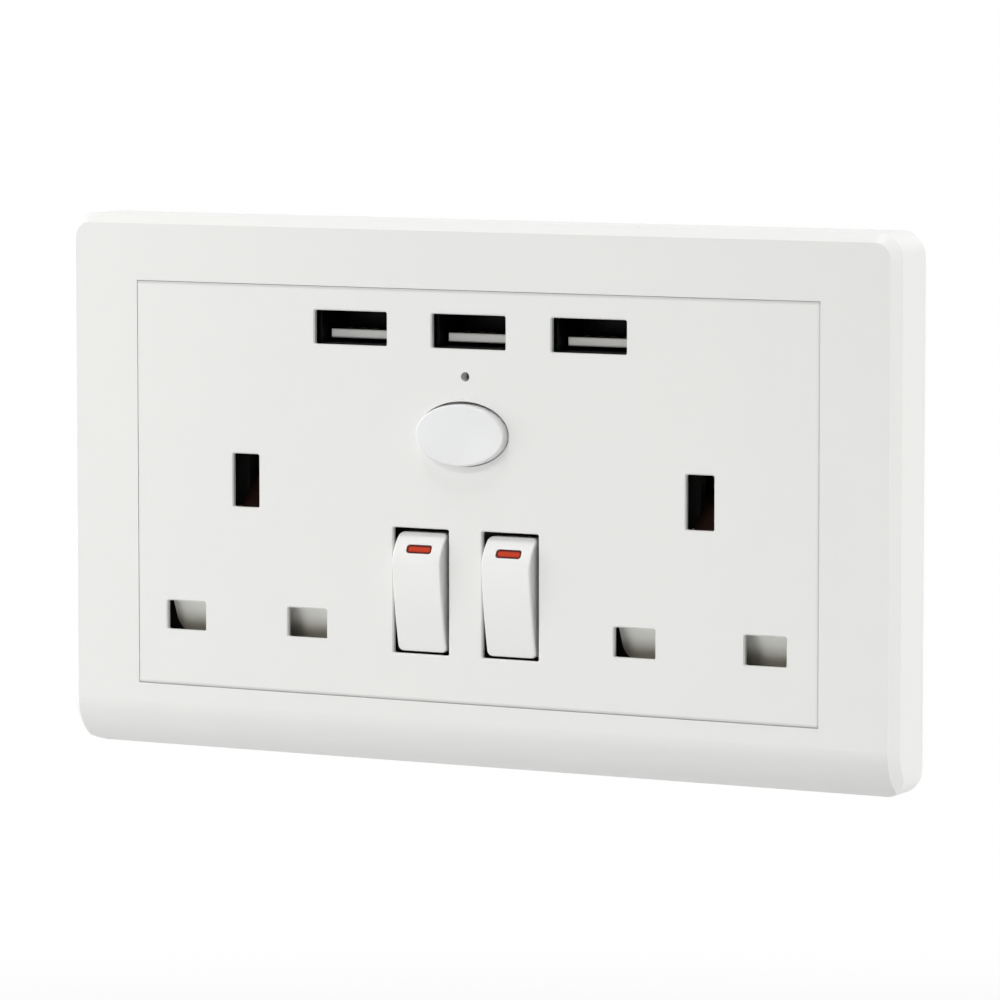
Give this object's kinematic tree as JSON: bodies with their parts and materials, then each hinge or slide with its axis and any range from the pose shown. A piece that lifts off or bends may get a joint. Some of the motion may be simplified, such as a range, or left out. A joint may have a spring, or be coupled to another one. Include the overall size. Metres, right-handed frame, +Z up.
{
  "type": "wall socket",
  "caption": "White twin wall socket with rocker switches, shuttered three-pin apertures, USB charging ports, an oval push button and a clip-on surround.",
  "frame": {"origin": "centre of the plate on the wall plane", "axes": "+X to the right as seen from the front, +Z up, +Y into the wall, so the front faces -Y"},
  "size_m": [0.146, 0.0347, 0.086],
  "materials": {
    "frame_plastic": "satin white moulding",
    "panel_plastic": "satin white moulding",
    "rocker_plastic": "satin white moulding",
    "button_plastic": "satin white moulding",
    "indicator_red": "polished red insert",
    "shutter_plastic": "pale grey moulding",
    "cam_plastic": "black acetal",
    "base_plastic": "charcoal, as moulded",
    "plunger_plastic": "as moulded",
    "spring_steel": "drawn wire",
    "brass_strip": "stamped strip",
    "screw_steel": "zinc plated",
    "shell_steel": "black nickel plated folded sheet",
    "tongue_plastic": "light grey moulding",
    "contact_gold": "gold flash",
    "board_laminate": "green solder mask",
    "dark_plastic": "moulded black",
    "led_lens": "diffused lens",
    "tinned_wire": "tinned",
    "ferrite": "sintered",
    "winding_tape": "yellow tape",
    "capacitor_can": "dark sleeve",
    "lead_brown": "insulated lead",
    "lead_blue": "insulated lead"
  },
  "bodies": {
    "base": {"assembly_screws": "screw_steel", "control_chips": "dark_plastic", "earth_bar": "brass_strip", "earth_terminal": "brass_strip", "front_panel": "panel_plastic", "input_capacitor": "capacitor_can", "led_leads": "tinned_wire", "live_contact_left": "brass_strip", "live_contact_right": "brass_strip", "live_feed_bar": "brass_strip", "live_terminal": "brass_strip", "mounting_plate": "base_plastic", "neutral_bar": "brass_strip", "neutral_terminal": "brass_strip", "output_capacitors": "capacitor_can", "push_switch_body": "dark_plastic", "rear_housing": "base_plastic", "shutter_spring_left": "spring_steel", "shutter_spring_right": "spring_steel", "status_led": "led_lens", "surround_frame": "frame_plastic", "terminal_screws": "screw_steel", "transformer_core": "ferrite", "transformer_winding": "winding_tape", "usb_board": "board_laminate", "usb_contacts_centre": "contact_gold", "usb_contacts_left": "contact_gold", "usb_contacts_right": "contact_gold", "usb_live_lead": "lead_brown", "usb_neutral_lead": "lead_blue", "usb_shell_centre": "shell_steel", "usb_shell_left": "shell_steel", "usb_shell_right": "shell_steel", "usb_tongue_centre": "tongue_plastic", "usb_tongue_left": "tongue_plastic", "usb_tongue_right": "tongue_plastic"},
    "left_rocker": {"indicator_left": "indicator_red", "plunger_spring_left": "spring_steel", "rocker_left": "rocker_plastic"},
    "right_rocker": {"indicator_right": "indicator_red", "plunger_spring_right": "spring_steel", "rocker_right": "rocker_plastic"},
    "left_seesaw": {"moving_contact_left": "brass_strip"},
    "right_seesaw": {"moving_contact_right": "brass_strip"},
    "left_plunger": {"plunger_left": "plunger_plastic"},
    "right_plunger": {"plunger_right": "plunger_plastic"},
    "charger_button": {"push_switch_plunger": "plunger_plastic", "usb_button": "button_plastic"},
    "left_shutter": {"shutter_cam_left": "cam_plastic", "shutter_left": "shutter_plastic"},
    "right_shutter": {"shutter_cam_right": "cam_plastic", "shutter_right": "shutter_plastic"}
  },
  "joints": [
    {"name": "left_rocker_tilt", "type": "hinge", "parent": "base", "child": "left_rocker", "pos_m": [-0.00845, -0.0046, -0.01506], "axis": [-1, 0, 0], "range_deg": [0, 14]},
    {"name": "left_plunger_slide", "type": "slide", "parent": "left_rocker", "child": "left_plunger", "axis": [0, -0.9925, -0.1219], "range_m": [0, 0.0008], "stiffness_N_per_m": 15, "springref_m": -0.004, "deforming": ["plunger_spring_left"]},
    {"name": "left_contact_tilt", "type": "hinge", "parent": "base", "child": "left_seesaw", "pos_m": [-0.00845, 0.00435, -0.01506], "axis": [1, 0, 0], "range_deg": [0, 10]},
    {"name": "right_rocker_tilt", "type": "hinge", "parent": "base", "child": "right_rocker", "pos_m": [0.00735, -0.0046, -0.01506], "axis": [-1, 0, 0], "range_deg": [0, 14]},
    {"name": "right_plunger_slide", "type": "slide", "parent": "right_rocker", "child": "right_plunger", "axis": [0, -0.9925, -0.1219], "range_m": [0, 0.0008], "stiffness_N_per_m": 15, "springref_m": -0.004, "deforming": ["plunger_spring_right"]},
    {"name": "right_contact_tilt", "type": "hinge", "parent": "base", "child": "right_seesaw", "pos_m": [0.00735, 0.00435, -0.01506], "axis": [1, 0, 0], "range_deg": [0, 10]},
    {"name": "left_shutter_slide", "type": "slide", "parent": "base", "child": "left_shutter", "axis": [0, 0, -1], "range_m": [0, 0.0056], "stiffness_N_per_m": 40, "springref_m": -0.006, "deforming": ["shutter_spring_left"]},
    {"name": "right_shutter_slide", "type": "slide", "parent": "base", "child": "right_shutter", "axis": [0, 0, -1], "range_m": [0, 0.0056], "stiffness_N_per_m": 40, "springref_m": -0.006, "deforming": ["shutter_spring_right"]},
    {"name": "button_press", "type": "slide", "parent": "base", "child": "charger_button", "axis": [0, 1, 0], "range_m": [0, 0.0015], "stiffness_N_per_m": 120, "springref_m": -0.003}
  ],
  "couplings": [
    {"joint": "left_contact_tilt", "follows": "left_rocker_tilt", "ratio": 0.71428},
    {"joint": "right_contact_tilt", "follows": "right_rocker_tilt", "ratio": 0.71428}
  ]
}
